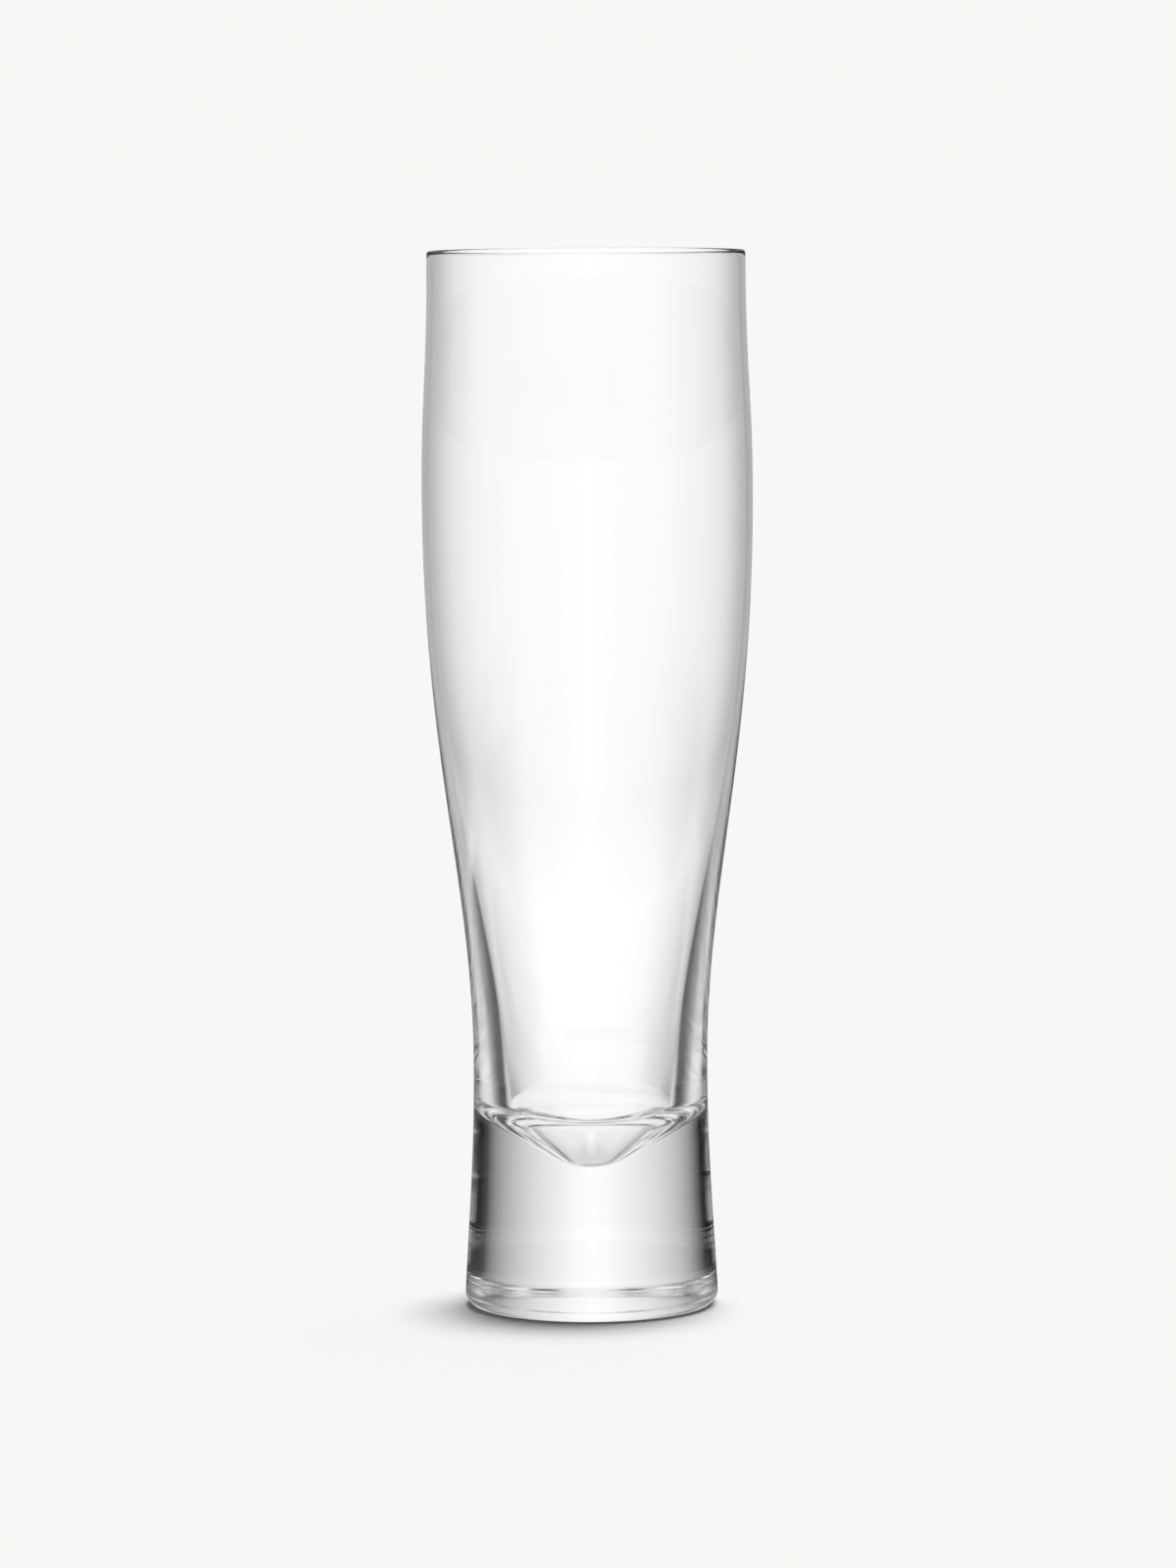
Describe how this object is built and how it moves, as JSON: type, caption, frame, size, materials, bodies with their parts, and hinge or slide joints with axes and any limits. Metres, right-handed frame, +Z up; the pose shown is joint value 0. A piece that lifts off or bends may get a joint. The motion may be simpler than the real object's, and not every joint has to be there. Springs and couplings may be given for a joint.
{
  "type": "weizen glass",
  "caption": "Tall clear beer glass: thin blown bowl with a soft belly and a long taper, walls thickening to a rounded well, on a solid flared base.",
  "frame": {"origin": "centre of the flat underside, on the surface the glass stands on", "axes": "+Z up along the glass's axis of revolution, towards the lip"},
  "size_m": [0.0732, 0.0732, 0.235],
  "materials": {
    "clear_glass": "fire-polished, colourless"
  },
  "bodies": {
    "root": {"bowl": "clear_glass", "base": "clear_glass"}
  },
  "joints": []
}
